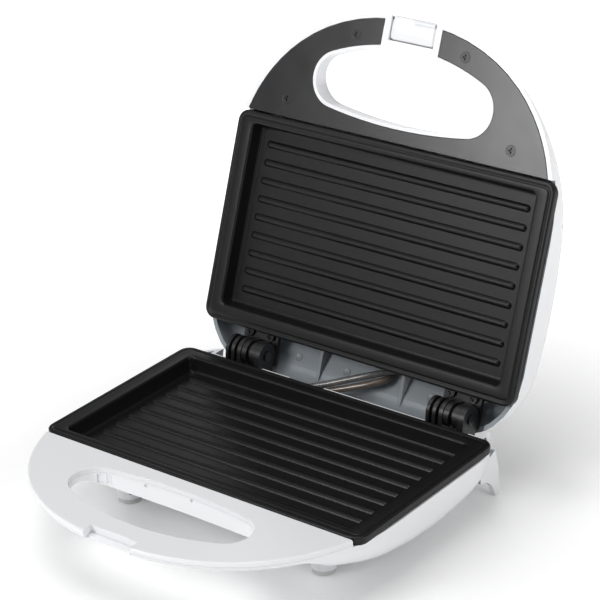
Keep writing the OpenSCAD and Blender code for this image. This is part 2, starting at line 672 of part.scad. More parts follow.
module hinge_pin_right() hinge_pin(1);
module base_hinge_screws() color(steel) for (c = [-1, 1], y = base_screw_y)
    set_down() translate([c * hinge_x + 4, y, hinge_z - arm_drop]) pan_screw(hinge_t + 5);
module lid_hinge_screws() color(steel) lid_half() for (c = [-1, 1], u = lid_screw_u)
    translate([c * hinge_x + u, hinge_y + lid_screw_y, hinge_z + arm_in])
        mirror([0, 0, 1]) pan_screw(hinge_t + 5);

// ---- lid
arm_top = hinge_z + arm_in + hinge_t;
lamp_x = lamp_pitch / 2;
lens_top = depth_at(-lamp_y, true);
board_x = lamp_x + 12;
bulb_r = 1.8;
board_t = 1.4;
board_z = lens_top - 6.4 - 2 * bulb_r - board_t;
rib_places = [29, hinge_x - 3.5];
rib_t = 2;
rib_front = plate_d / 2 + 1;
lid_rim_rear = plate_d / 2 + 3;        // the rim that carries the upper plate ends here
rib_edge = arm_top + 1;
rear_rim = 3;                          // rim level of the lid behind the hinges
module lid_housing() color(white) lid_half() difference() {
    union() {
        housing_shell(true, face_gap);
        intersection() {
            housing_form(true, face_gap);
            union() {
                linear_extrude(lid_h) finger_shape(finger_wall);
                bar(-block_half, block_half, -handle_reach, slot_rear + 4, 0, lid_h);
                posts(true);
                both_sides() for (p = cover_screws) translate([p.x, p.y, face_gap + cover_t])
                    cylinder(r = boss_r, h = lid_h);
                both_sides() for (x = rib_places) bar(x - rib_t / 2, x + rib_t / 2, rib_front,
                    rear_reach - wall / 2, rib_edge, lid_h);
                for (c = [-1, 1], u = lid_screw_u) translate([c * hinge_x + u,
                    hinge_y + lid_screw_y, arm_top]) cylinder(r = boss_r, h = lid_h);
                both_sides() translate([board_x, -lamp_y, board_z + board_t])
                    cylinder(r = 2.4, h = lid_h);
                bar(lid_block_x, lid_block_x + block_w, lid_block_y - block_l, lid_block_y,
                    lid_block_depth + block_h, lid_h);
            }
        }
    }
    translate([0, 0, -1]) linear_extrude(lid_h + 2) finger_shape(0);
    translate([0, 0, -1]) linear_extrude(1 + face_gap + cover_t) difference() {
        cover_plan(wall - 0.1);
        finger_shape(finger_wall);
        translate([-block_half, -handle_reach]) square([2 * block_half, slot_rear + 4 + handle_reach]);
    }
    bar(-half_w - 1, half_w + 1, -cover_edge, lid_rim_rear, 0, rim_level);
    both_sides() bar(bay_half - 3, half_w + 1, lid_rim_rear - 1, rear_reach + 1, 0, rim_level);
    bar(-bay_half, bay_half, lid_rim_rear - 1, rear_reach + 1, 0, rear_rim);
    both_sides() bar(tower_in - 1.5, tower_out + 6, lid_rim_rear + 0.5, rear_reach + 1, 0, arm_top);
    bar(-slot_half, slot_half, -handle_reach - 1, slot_rear, 0, slot_floor);
    translate([-block_half + 1, clip_y, clip_z]) rotate([0, 90, 0])
        cylinder(r = clip_pin_r + pin_fit, h = 2 * block_half - 2);
    post_bores();
    both_sides() for (p = cover_screws) translate([p.x, p.y, 0])
        cylinder(r = screw_r + screw_play, h = lid_screw_end(p) + 0.5);
    for (c = [-1, 1], u = lid_screw_u) translate([c * hinge_x + u, hinge_y + lid_screw_y, arm_top - 1])
        cylinder(r = screw_r + screw_play, h = 6.5);
    both_sides() translate([lamp_x, -lamp_y, lens_top - 8]) cylinder(r = lens_r + 0.1, h = 12);
}
function lid_screw_end(p) = min(depth_at(p.y, true) - 1.6, 9);

module lid_inner_cover() color(black) lid_half() difference() {
    union() {
        translate([0, 0, face_gap]) linear_extrude(cover_t) difference() {
            cover_plan(wall + cover_fit);
            finger_shape(finger_wall + cover_fit);
        }
        cover_lip(wall + cover_fit);
    }
    bar(-block_half - cover_fit, block_half + cover_fit, -handle_reach - 1, slot_rear + 4 + cover_fit,
        0, rim_level);
    both_sides() for (p = cover_screws) translate([p.x, p.y, 0]) {
        cylinder(r = screw_r + 0.2, h = 4);
        translate([0, 0, face_gap]) cylinder(r1 = head_r + 0.3, r2 = screw_r + 0.2, h = sunk_h);
    }
}
module inner_cover_screws() color(steel) lid_half() both_sides() for (p = cover_screws)
    translate([p.x, p.y, face_gap + 0.05]) mirror([0, 0, 1])
        sunk_screw(lid_screw_end(p) - face_gap - 0.2);

module upper_plate() color(coated) lid_half() plate();
module upper_reflector() color(steel) lid_half() pan();
module upper_reflector_screws() color(steel) lid_half() pan_screws();
module upper_element() color(steel) lid_half() element();
module lid_terminal_block() color(white) lid_half() terminal_box(lid_block_x, lid_block_y, lid_block_depth);
module thermostat() color(steel) lid_half() translate([-20, 8, pan_depth]) {
    cylinder(r = 10, h = 1);
    cylinder(r = 8, h = 7);
    for (s = [-1, 1]) bar(s * 4 - 0.4, s * 4 + 0.4, -3, 3, 7, 12);
}

// Indicator lamps: lens, bulb and board, hung on two posts of the lid
module lens(c) lid_half() translate([c * lamp_x, -lamp_y, lens_top]) {
    translate([0, 0, -5.2]) cylinder(r = lens_r, h = 5.8);
    translate([0, 0, -6.2]) cylinder(r = lens_r + 1, h = 1.1);
}
module red_lens() color([0.8, 0.1, 0.08]) lens(-1);
module green_lens() color([0.1, 0.6, 0.2]) lens(1);
module neon_lamps() color([0.9, 0.6, 0.4]) lid_half() both_sides()
    translate([lamp_x - 4, -lamp_y, board_z + board_t + bulb_r]) rotate([0, 90, 0])
        cylinder(r = bulb_r, h = 8);
module lamp_board() color([0.75, 0.6, 0.35]) lid_half()
    bar(-board_x - 3, board_x + 3, -lamp_y - 5, -lamp_y + 5, board_z, board_z + board_t);

// Clip at rest in its slot; it swings down past the catch, and its hook points to the outside
module latch() color(white) lid_half() translate([0, clip_y, clip_z]) difference() {
    across(-clip_half, clip_w) {
        circle(clip_r);
        polygon([[0, -clip_t / 2], [clip_l, -clip_t / 2], [clip_l, hook_reach - 0.6],
            [clip_l - 0.6, hook_reach], [hook_at, hook_reach], [hook_at, clip_t / 2],
            [0, clip_t / 2]]);
    }
    rotate([0, 90, 0]) translate([0, 0, -clip_half - 1])
        cylinder(r = clip_pin_r + pin_fit, h = clip_w + 2);
}
module latch_pin() color(steel) lid_half() translate([-block_half + 1.2, clip_y, clip_z])
    rotate([0, 90, 0]) cylinder(r = clip_pin_r, h = 2 * block_half - 2.4);

// ---- sleeved leads from the base to the lid, as they lie with the lid open
lead_r = 2;
lead_sides = 8;
lead_steps = 3;
live_base = [[-36, 50.1, -22.2], [-36, 52.4, -22.1], [-36, 54.9, -20.9], [-36, 57.2, -19.7],
    [-36, 61.2, -17.3], [-35, 64.6, -14.1], [-31.5, 66.9, -10], [-25, 69.8, -7.6],
    [-14, 74.3, -4.3], [-3, 78.5, -0.4], [8, 82.6, 3.5], [17, 88, 6]];
live_lid = [[22.6, 63.8, 15.4], [24, 60.3, 20], [24.5, 53.5, 22.2], [24.5, 46, 22.2],
    [24.5, 39.1, 22.2]];
neutral_base = [[-29, 50.1, -22.2], [-29, 52.4, -22.1], [-29, 54.9, -20.9], [-29, 57.2, -19.7],
    [-29, 61.2, -17.3], [-28.4, 64.2, -14.8], [-26.5, 66.8, -12.2], [-21, 69.8, -10.6],
    [-11, 74.6, -7.8], [0, 78.6, -4.4], [11, 82.6, -0.8], [18, 87.3, 1.8]];
neutral_lid = [[19.2, 67.7, 16], [18.4, 63.6, 18.2], [17.7, 59.8, 20.1], [17.5, 55.4, 21.5],
    [17.5, 47, 22.2], [17.5, 39.1, 22.2]];
function to_open(p) = [p.x, opened_y(p.y, p.z), opened_z(p.y, p.z)];
function route(a, b) = concat(a, [for (p = b) to_open(p)]);
// Smooth curve through the route's points
function curve_at(q, i, t) = let (n = len(q), a = i > 0 ? q[i - 1] : 2 * q[0] - q[1], b = q[i],
    c = q[i + 1], e = i + 2 < n ? q[i + 2] : 2 * q[n - 1] - q[n - 2])
    0.5 * (2 * b + (c - a) * t + (2 * a - 5 * b + 4 * c - e) * t * t
    + (3 * b - a - 3 * c + e) * t * t * t);
function smoothed(q) = concat([for (i = [0 : len(q) - 2], k = [0 : lead_steps - 1])
    curve_at(q, i, k / lead_steps)], [q[len(q) - 1]]);
function unit(v) = v / norm(v);
module tube(q, r) {
    m = len(q);
    ways = [for (i = [0 : m - 1]) unit(q[min(i + 1, m - 1)] - q[max(i - 1, 0)])];
    points = [for (i = [0 : m - 1], k = [0 : lead_sides - 1])
        let (side = unit(cross(ways[i], [0.3, 0.2, -1])), up = cross(side, ways[i]),
        a = 360 * k / lead_sides) q[i] + r * (cos(a) * side + sin(a) * up)];
    faces = concat([[for (k = [lead_sides - 1 : -1 : 0]) k]],
        [for (i = [0 : m - 2], k = [0 : lead_sides - 1], s = [0, 1])
            let (j = (k + 1) % lead_sides, a = i * lead_sides + k, b = a + lead_sides,
            c = (i + 1) * lead_sides + j, e = i * lead_sides + j)
            s == 0 ? [c, b, a] : [e, c, a]],
        [[for (k = [0 : lead_sides - 1]) (m - 1) * lead_sides + k]]);
    polyhedron(points, faces, convexity = 6);
}
module jumper_lead_live() color(black) set_down() tube(smoothed(route(live_base, live_lid)), lead_r);
module jumper_lead_neutral() color([0.3, 0.24, 0.2]) set_down()
    tube(smoothed(route(neutral_base, neutral_lid)), lead_r);

base_housing();
handle_cover();
handle_cover_screws();
cord_gland();
front_feet();
lower_plate();
lower_reflector();
lower_reflector_screws();
lower_element();
thermal_fuse();
terminal_block();
base_hinge_left();
base_hinge_right();
base_hinge_screws();
hinge_pin_left();
hinge_pin_right();
jumper_lead_live();
jumper_lead_neutral();
lid_housing();
lid_inner_cover();
inner_cover_screws();
upper_plate();
upper_reflector();
upper_reflector_screws();
upper_element();
thermostat();
lid_terminal_block();
lid_hinge_left();
lid_hinge_right();
lid_hinge_screws();
red_lens();
green_lens();
neon_lamps();
lamp_board();
latch();
latch_pin();
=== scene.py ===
import json
import math
import bmesh
import bpy
import numpy as np
from mathutils import Matrix, Vector
from mathutils.bvhtree import BVHTree


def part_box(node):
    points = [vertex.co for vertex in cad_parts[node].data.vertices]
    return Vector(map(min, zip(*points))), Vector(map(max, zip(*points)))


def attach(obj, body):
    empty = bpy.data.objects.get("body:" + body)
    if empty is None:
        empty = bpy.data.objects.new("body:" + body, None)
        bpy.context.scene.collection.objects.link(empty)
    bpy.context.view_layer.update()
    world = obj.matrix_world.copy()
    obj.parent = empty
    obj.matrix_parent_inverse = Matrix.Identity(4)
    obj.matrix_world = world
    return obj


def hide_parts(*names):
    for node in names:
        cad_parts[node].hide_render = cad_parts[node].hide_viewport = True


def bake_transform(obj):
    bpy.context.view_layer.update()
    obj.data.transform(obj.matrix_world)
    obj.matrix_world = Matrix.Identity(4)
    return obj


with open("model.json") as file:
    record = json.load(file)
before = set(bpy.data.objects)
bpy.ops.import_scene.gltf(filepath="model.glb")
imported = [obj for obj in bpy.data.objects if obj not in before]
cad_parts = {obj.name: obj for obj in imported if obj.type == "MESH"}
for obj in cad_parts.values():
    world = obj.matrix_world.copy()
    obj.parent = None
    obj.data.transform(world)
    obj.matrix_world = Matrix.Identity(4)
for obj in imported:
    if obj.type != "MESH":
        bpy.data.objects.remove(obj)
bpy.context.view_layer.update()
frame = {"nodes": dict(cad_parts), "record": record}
nodes = frame["nodes"]
bodyOf = {n: b for b, group in frame["record"]["behaviour"]["bodies"].items() for n in group}
slotOf = {s["node"]: s["material_slot"] for s in frame["record"]["subparts"]}
print("frame loaded:", len(nodes), "nodes")

# Closed-toaster coordinates are in millimetres: x to the right, y to the rear from the middle of the
# plates, z up from the plane where the halves meet. The lid is drawn closed and opened about its pin.
low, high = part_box("lower_plate")
plateGap = 0.2  # from the meeting plane to the rim of each plate
toaster = dict(
    hingeY=75.6, hingeZ=0.8, lidOpen=math.radians(110),
    standY=(low.y + high.y) * 500, deck=high.z * 1000 + plateGap,
)
pole = 1e-4  # radius at the poles of turned forms, in millimetres: too small to see


# Turned about the pin: y' = pinY + c dy + s dz, z' = pinZ - s dy + c dz
def openLid(points):
    c, s = math.cos(toaster["lidOpen"]), math.sin(toaster["lidOpen"])
    y, z = points[..., 1] - toaster["hingeY"], points[..., 2] - toaster["hingeZ"]
    return np.stack([points[..., 0], toaster["hingeY"] + c * y + s * z,
                     toaster["hingeZ"] - s * y + c * z], -1)


# Turned back: y' = pinY + c dy - s dz, z' = pinZ + s dy + c dz
def closeLid(points):
    c, s = math.cos(toaster["lidOpen"]), math.sin(toaster["lidOpen"])
    y, z = points[..., 1] - toaster["hingeY"], points[..., 2] - toaster["hingeZ"]
    return np.stack([points[..., 0], toaster["hingeY"] + c * y - s * z,
                     toaster["hingeZ"] + s * y + c * z], -1)


# Millimetres of the closed toaster to metres of the shared frame
def onTable(points):
    return (np.asarray(points, float) + [0, toaster["standY"], toaster["deck"]]) / 1000


# Metres of the shared frame back to millimetres of the closed toaster
def offTable(points):
    return np.asarray(points, float) * 1000 - [0, toaster["standY"], toaster["deck"]]


# The base half counts its depth downwards, so its z is turned over
def placeBase(points):
    return onTable(np.asarray(points, float) * [1, 1, -1])


# Points of the closed lid, opened and set on the table
def placeLid(points):
    return onTable(openLid(np.asarray(points, float)))


# A closed mesh from points and faces: doubles merged, normals outwards, edges over the angle sharp
def makeMesh(name, points, faces, sharp=40, merge=1e-6, attributes=None):
    mesh = bpy.data.meshes.new(name)
    if isinstance(faces, np.ndarray):
        faces = faces.tolist()
    mesh.from_pydata(np.asarray(points, float).reshape(-1, 3).tolist(), [], faces)
    for label, values in (attributes or {}).items():
        layer = mesh.attributes.new(label, "FLOAT", "POINT")
        layer.data.foreach_set("value", np.asarray(values, np.float32).ravel())
    work = bmesh.new()
    work.from_mesh(mesh)
    bmesh.ops.remove_doubles(work, verts=work.verts, dist=merge)
    bmesh.ops.recalc_face_normals(work, faces=work.faces)
    work.to_mesh(mesh)
    work.free()
    mesh.shade_smooth()
    mesh.set_sharp_from_angle(angle=math.radians(sharp))
    return mesh


# An object at the origin with one finish. It rides on its body, if it has one, and takes the place of the
# CAD nodes in replaces.
def addPiece(name, mesh, body, material, replaces=()):
    mesh.materials.clear()
    mesh.materials.append(material)
    piece = bpy.data.objects.new(name, mesh)
    bpy.context.scene.collection.objects.link(piece)
    if body:
        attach(piece, body)
    if replaces:
        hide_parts(*replaces)
    return piece


# Quads of a grid whose point (i, j) has the number start + i nv + j
def gridFaces(nu, nv, closeU=False, closeV=False, start=0):
    i = np.arange(nu if closeU else nu - 1)[:, None]
    j = np.arange(nv if closeV else nv - 1)[None, :]
    i1, j1 = (i + 1) % nu, (j + 1) % nv
    return (np.stack([i * nv + j, i1 * nv + j, i1 * nv + j1, i * nv + j1], -1) + start).reshape(-1, 4)


# A profile of (radius, height) turned about the height axis; a closed profile gives a ring, an open one
# is closed by its two end faces
def turned(profile, steps=32, ring=False):
    profile = np.asarray(profile, float)
    t = np.linspace(0, 2 * np.pi, steps, endpoint=False)[:, None]
    points = np.stack([profile[:, 0] * np.cos(t), profile[:, 0] * np.sin(t),
                       np.broadcast_to(profile[:, 1], (steps, len(profile)))], -1).reshape(-1, 3)
    faces = gridFaces(steps, len(profile), closeU=True, closeV=ring).tolist()
    if not ring:
        count = len(profile)
        faces += [list(range(0, steps * count, count)), list(range(count - 1, steps * count, count))]
    return points, faces


# Several point and face lists as one
def joined(parts):
    points, faces, start = [], [], 0
    for part, own in parts:
        points.append(np.asarray(part, float))
        faces += [[k + start for k in face] for face in np.asarray(own, dtype=object).tolist()]
        start += len(part)
    return np.concatenate(points), faces


# The eight corners of a box, x slowest and z fastest, and its six faces
def boxPart(x0, x1, y0, y1, z0, z1):
    points = [(x, y, z) for x in (x0, x1) for y in (y0, y1) for z in (z0, z1)]
    faces = [[0, 1, 3, 2], [4, 6, 7, 5], [0, 4, 5, 1], [2, 3, 7, 6], [0, 2, 6, 4], [1, 5, 7, 3]]
    return np.array(points), faces


# A merged copy of a CAD node, cut by closed meshes (points in metres, faces). Its edges over 32 degrees
# are broken to the width, in millimetres, and it is shaded with weighted normals. Faces that the test in
# inside picks out get the second material; the housings give them a darker white there as painted shade.
def dressedCopy(node, name, material, width, cuts=(), inside=None):
    mesh = nodes[node].data.copy()
    work = bmesh.new()
    work.from_mesh(mesh)
    bmesh.ops.remove_doubles(work, verts=work.verts, dist=2e-6)
    bmesh.ops.dissolve_limit(work, angle_limit=math.radians(0.4), verts=work.verts, edges=work.edges)
    work.to_mesh(mesh)
    work.free()
    piece = addPiece(name, mesh, bodyOf[node], material, [node])
    if cuts:
        cutter = bpy.data.objects.new("cutter", makeMesh("cutter", *joined(cuts)))
        bpy.context.scene.collection.objects.link(cutter)
        cut = piece.modifiers.new("cut", "BOOLEAN")
        cut.operation, cut.solver, cut.object = "DIFFERENCE", "EXACT", cutter
        bpy.context.view_layer.update()
        depsgraph = bpy.context.evaluated_depsgraph_get()
        carved = bpy.data.meshes.new_from_object(piece.evaluated_get(depsgraph))
        piece.modifiers.clear()
        piece.data = carved
        carved.materials.clear()
        carved.materials.append(material)
        bpy.data.objects.remove(cutter)
    if inside:
        test, second = inside
        data = piece.data
        data.materials.append(second)
        centres = np.empty(len(data.polygons) * 3)
        normals = np.empty(len(data.polygons) * 3)
        data.polygons.foreach_get("center", centres)
        data.polygons.foreach_get("normal", normals)
        chosen = test(centres.reshape(-1, 3), normals.reshape(-1, 3))
        data.polygons.foreach_set("material_index", chosen.astype(np.int32))
    piece.data.shade_smooth()
    edge = piece.modifiers.new("edges", "BEVEL")
    edge.width, edge.segments = width / 1000, 2
    edge.limit_method, edge.angle_limit = "ANGLE", math.radians(32)
    edge.use_clamp_overlap, edge.miter_outer = True, "MITER_ARC"
    shading = piece.modifiers.new("shading", "WEIGHTED_NORMAL")
    shading.keep_sharp = True
    return piece


# A colour of three numbers as the four that a socket takes; anything else as it is
def socketValue(value):
    return (*value, 1) if isinstance(value, tuple) and len(value) == 3 else value


# A material's node tree in short: a call adds one node and returns its output. Where a value is asked
# for, a number, a colour or another node's output does. Patterns read Object coordinates, in metres.
class Finish:
    def __init__(self, name, **values):
        self.material = bpy.data.materials.new(name)
        self.material.use_nodes = True
        self.tree = self.material.node_tree
        self.shader = self.tree.nodes["Principled BSDF"]
        for socket, value in values.items():
            self.set(socket, value)
        self.place = self.add("ShaderNodeTexCoord").outputs["Object"]

    def add(self, kind, **settings):
        node = self.tree.nodes.new(kind)
        for key, value in settings.items():
            setattr(node, key, value)
        return node

    def link(self, value, socket):
        if isinstance(value, bpy.types.NodeSocket):
            self.tree.links.new(value, socket)
        else:
            socket.default_value = socketValue(value)

    # An input of the Principled shader by its name, with _ for a blank
    def set(self, socket, value):
        self.link(value, self.shader.inputs[socket.replace("_", " ")])

    def noise(self, scale, detail=3, rough=0.5, stretch=None):
        node = self.add("ShaderNodeTexNoise")
        node.inputs["Scale"].default_value = scale
        node.inputs["Detail"].default_value = detail
        node.inputs["Roughness"].default_value = rough
        self.link(self.scaled(stretch) if stretch else self.place, node.inputs["Vector"])
        return node.outputs["Fac"]

    def scaled(self, stretch):
        node = self.add("ShaderNodeMapping")
        node.inputs["Scale"].default_value = stretch
        self.link(self.place, node.inputs["Vector"])
        return node.outputs["Vector"]

    def attribute(self, label):
        return self.add("ShaderNodeAttribute", attribute_name=label).outputs["Fac"]

    # Grey levels between stops of (position, level)
    def ramp(self, value, stops):
        node = self.add("ShaderNodeValToRGB")
        self.link(value, node.inputs["Fac"])
        while len(node.color_ramp.elements) < len(stops):
            node.color_ramp.elements.new(0.5)
        for element, (at, level) in zip(node.color_ramp.elements, stops):
            element.position = at
            element.color = (level, level, level, 1)
        return node.outputs["Color"]

    # low + value (high - low), for a value from 0 to 1
    def spread(self, value, low, high):
        node = self.add("ShaderNodeMapRange")
        self.link(value, node.inputs["Value"])
        self.link(low, node.inputs["To Min"])
        self.link(high, node.inputs["To Max"])
        return node.outputs["Result"]

    # The colour one, and two as the share goes to 1; inputs 6 and 7 and output 2 are the colour sockets
    def mix(self, share, one, two):
        node = self.add("ShaderNodeMix", data_type="RGBA")
        for value, index in ((share, 0), (one, 6), (two, 7)):
            self.link(value, node.inputs[index])
        return node.outputs[2]

    def math(self, operation, one, two=0.0):
        node = self.add("ShaderNodeMath", operation=operation)
        self.link(one, node.inputs[0])
        self.link(two, node.inputs[1])
        return node.outputs[0]

    # Sets the shader's normal; under is an earlier bump that this one lies on
    def bump(self, height, strength, distance, under=None):
        node = self.add("ShaderNodeBump")
        node.inputs["Strength"].default_value = strength
        node.inputs["Distance"].default_value = distance
        self.link(height, node.inputs["Height"])
        if under is not None:
            self.link(under, node.inputs["Normal"])
        self.set("Normal", node.outputs["Normal"])
        return node.outputs["Normal"]


# Glossy or matt white moulding: faint clouds, soft sheen changes, flow marks and a fine grain
def whitePlastic(name, colour, shade, gloss, waves, coat):
    f = Finish(name, IOR=1.5, Coat_Weight=coat, Coat_Roughness=0.14)
    f.set("Base Color", f.mix(f.spread(f.noise(14, 4, 0.55), 0, 0.5), colour, shade))
    f.set("Roughness", f.spread(f.noise(60, 3), *gloss))
    under = f.bump(f.noise(90, 2), waves, 0.0006)
    f.bump(f.noise(1800, 2), 0.03, 0.00005, under)
    return f.material


# Non-stick coating: near black with fine fleck, orange peel, and a thinner, greyer film on high edges
def coatedAluminium():
    look = dict(colour=(0.0050, 0.0050, 0.0053), cloud=(0.0075, 0.0075, 0.0078),
                fleck=(0.05, 0.05, 0.052), worn=(0.035, 0.035, 0.036), gloss=(0.27, 0.38))
    f = Finish("nonStickCoating", IOR=1.5, Specular_IOR_Level=0.24)
    grain = f.noise(5200, 2, 0.7)
    base = f.mix(f.spread(f.noise(22, 4), 0, 0.8), look["colour"], look["cloud"])
    specks = f.math("MULTIPLY", f.ramp(grain, [(0.6, 0.0), (0.72, 1.0)]), 0.35)
    flecks = f.mix(specks, base, look["fleck"])
    edge = f.ramp(f.add("ShaderNodeNewGeometry").outputs["Pointiness"], [(0.515, 0.0), (0.58, 1.0)])
    worn = f.math("MULTIPLY", edge, f.ramp(f.noise(160, 4, 0.6), [(0.42, 0.0), (0.62, 0.8)]))
    f.set("Base Color", f.mix(worn, flecks, look["worn"]))
    f.set("Roughness", f.spread(f.noise(240, 3), *look["gloss"]))
    peel = f.bump(f.noise(1300, 2), 0.2, 0.00012)
    f.bump(grain, 0.12, 0.00004, peel)
    return f.material


# Black moulding with a fine spark-eroded grain
def satinBlack(name, colour, gloss, grainSize, grain, specular):
    f = Finish(name, IOR=1.5, Specular_IOR_Level=specular)
    paler = tuple(c * 1.5 + 0.004 for c in colour)
    f.set("Base Color", f.mix(f.spread(f.noise(18, 3), 0, 0.8), colour, paler))
    f.set("Roughness", f.spread(f.noise(80, 3), *gloss))
    f.bump(f.noise(grainSize, 2, 0.6), grain, 0.00008)
    return f.material


# Rolled or turned steel: fine lines, cloudy sheen and, where it gets hot, straw tints
def steelSheet(name, colour, gloss, stretch=(1, 1, 1), heat=None):
    f = Finish(name, Metallic=1.0)
    lines = f.noise(900, 3, 0.6, stretch)
    cloud, line = (tuple(c * shade for c in colour) for shade in (0.78, 0.6))
    tone = f.mix(f.spread(f.noise(30, 4), 0, 0.6), colour, cloud)
    if heat:
        tone = f.mix(f.ramp(f.noise(16, 2), [(0.45, 0.0), (0.62, 0.8)]), tone, heat)
    f.set("Base Color", f.mix(f.spread(lines, 0, 0.25), tone, line))
    f.set("Roughness", f.spread(lines, *gloss))
    f.bump(lines, 0.12, 0.00005)
    return f.material


# Small mouldings: even colour with slight clouds and a soft grain
def moulded(name, colour, gloss, **values):
    f = Finish(name, **values)
    darker = tuple(c * 0.85 for c in colour)
    f.set("Base Color", f.mix(f.spread(f.noise(50, 3), 0, 1), colour, darker))
    f.set("Roughness", f.spread(f.noise(130, 3), *gloss))
    f.bump(f.noise(1500, 2), 0.1, 0.00006)
    return f.material


# Braided sleeve under varnish: two sets of strands wind round it, sin(n a + k s) and sin(n a - k s) of the
# angle a round the lead and the length s along it
def braidedSleeve(name, dark, light, strands=7, pitch=2200.0):
    f = Finish(name, IOR=1.5, Coat_Weight=1.0, Coat_Roughness=0.12)
    turn = f.math("ARCTAN2", f.attribute("turnSin"), f.attribute("turnCos"))
    angle = f.math("MULTIPLY", turn, float(strands))
    along = f.math("MULTIPLY", f.attribute("along"), pitch)
    weave = f.math("MULTIPLY", f.math("SINE", f.math("ADD", angle, along)),
                   f.math("SINE", f.math("SUBTRACT", angle, along)))
    height = f.spread(weave, 0.5, 1.0)
    # Colour follows the weave's height times random noise: painted shade in the low places between the
    # strands, lighter strand tops
    f.set("Base Color", f.mix(f.math("MULTIPLY", height, f.noise(300, 3)), dark, light))
    f.set("Roughness", f.spread(f.noise(400, 2), 0.3, 0.5))
    f.bump(height, 0.35, 0.00012)
    return f.material


white = whitePlastic("glossWhite", (0.80, 0.805, 0.82), (0.755, 0.76, 0.78), (0.24, 0.36), 0.05, 0.15)
# The inside white is the housing's white painted darker and bluer: painted shade on the inner faces
paintedShadeWhite = whitePlastic("paintedShadeWhite", (0.29, 0.32, 0.345), (0.21, 0.235, 0.26), (0.34, 0.5), 0.1, 0.0)
coating = coatedAluminium()
coverBlack = satinBlack("satinCover", (0.006, 0.006, 0.0068), (0.2, 0.28), 3000, 0.07, 0.6)
hingeBlack = satinBlack("hingeMoulding", (0.008, 0.008, 0.0085), (0.3, 0.44), 1800, 0.14, 0.45)
finishes = {
    "pan_steel": steelSheet("aluminisedSheet", (0.72, 0.73, 0.75), (0.28, 0.45), (1, 8, 1)),
    "element_steel": steelSheet("elementSheath", (0.42, 0.4, 0.38), (0.35, 0.55), (6, 1, 1),
                                heat=(0.36, 0.24, 0.16)),
    "pin_steel": steelSheet("blackenedPin", (0.10, 0.10, 0.105), (0.25, 0.4), (8, 1, 1)),
    "screw_dark": steelSheet("blackenedScrew", (0.05, 0.05, 0.052), (0.22, 0.36)),
    "screw_bright": steelSheet("zincScrew", (0.66, 0.67, 0.69), (0.22, 0.38)),
    "rubber_grey": moulded("softRubber", (0.055, 0.055, 0.058), (0.65, 0.85)),
    "lens_red": moulded("redLens", (0.62, 0.02, 0.02), (0.08, 0.16), IOR=1.49,
                        Transmission_Weight=0.4),
    "lens_green": moulded("greenLens", (0.02, 0.42, 0.1), (0.08, 0.16), IOR=1.49,
                          Transmission_Weight=0.4),
    "lamp_glass": moulded("lampGlass", (0.95, 0.8, 0.68), (0.04, 0.08), IOR=1.5,
                          Transmission_Weight=0.8),
    "board_tan": moulded("phenolicBoard", (0.5, 0.36, 0.17), (0.5, 0.65)),
    "block_white": moulded("steatite", (0.78, 0.76, 0.71), (0.4, 0.6)),
    "housing_white": white,
    "cover_black": coverBlack,
    "nonstick": coating,
    "hinge_black": hingeBlack,
}
special = {"front_feet": moulded("paleFoot", (0.62, 0.62, 0.62), (0.5, 0.7), IOR=1.45)}  # by node
for name, node in nodes.items():
    finish = special.get(name) or finishes.get(slotOf[name])
    if finish:
        node.data.materials.clear()
        node.data.materials.append(finish)
print("materials made")

# Widths of the broken edges, in millimetres
edges = dict(housing=0.45, cover=0.5, blackCover=0.35, hinge=0.4)

# The wall of the finger opening next to the plates is an arc; two sink marks and, at the left end, the
# pocket of a clip are pressed into it
opening = dict(nearR=300.0, near=73.5, endX=44.86, endY=-91.65, endR=14.6)
pressed = dict(
    marks=((-24.0, 5.2), (7.0, 4.9)), markR=1.25,  # places (x, depth) of the sink marks
    pocketTurn=math.radians(112), pocketDeep=0.3, pocketHalf=4.4, pocketZ=(4.6, 9.6), pocketRib=0.9,
    pocketStart=2.0,  # the cut starts this far inside the opening
)


# Spheres sunk to their middle in the wall's arc, y = -near - R + sqrt(R^2 - x^2), and the two halves of
# the pocket beside its rib, turned about the middle of the opening's round end
def fingerCuts(o, p):
    cuts = []
    for x, z in p["marks"]:
        r = p["markR"]
        t = np.linspace(-np.pi / 2, np.pi / 2, 9)[1:-1]
        points, faces = turned(np.stack([r * np.cos(t), r * np.sin(t)], -1), 16)
        y = -o["near"] - o["nearR"] + math.sqrt(o["nearR"] ** 2 - x * x)
        cuts.append((placeBase(points + [x, y, z]), faces))
    c, s = math.cos(p["pocketTurn"]), math.sin(p["pocketTurn"])
    for side in (-1, 1):
        a, b = sorted((side * p["pocketRib"], side * p["pocketHalf"]))
        points, faces = boxPart(o["endR"] - p["pocketStart"], o["endR"] + p["pocketDeep"],
                                a, b, *p["pocketZ"])
        x, y, z = points.T
        spun = np.stack([c * x - s * y, s * x + c * y, z], -1)
        cuts.append((placeBase(spun + [-o["endX"], o["endY"], 0]), faces))
    return cuts


# A face belongs to the inside when it lies behind the covers, between the levels, and looks towards the
# middle of its half: its normal times its way from that middle is negative. These faces get the darker
# inside white, which is painted shade.
insideFaces = dict(front=-62, lidLow=1.5, lidMiddle=(0, 20, 0), baseTop=-6.0, baseLow=-34,
                   baseMiddle=(0, 0, 10.0))


def lidInside(centres, normals):
    at = closeLid(offTable(centres))
    ahead = closeLid(offTable(centres + normals * 0.001)) - at
    looksIn = np.sum(ahead * (at - insideFaces["lidMiddle"]), -1) < 0
    return looksIn & (at[:, 1] > insideFaces["front"]) & (at[:, 2] > insideFaces["lidLow"])


def baseInside(centres, normals):
    at = offTable(centres)
    looksIn = np.sum(normals * (at - insideFaces["baseMiddle"]), -1) < 0
    level = (at[:, 2] < insideFaces["baseTop"]) & (at[:, 2] > insideFaces["baseLow"])
    return looksIn & level & (at[:, 1] > insideFaces["front"])


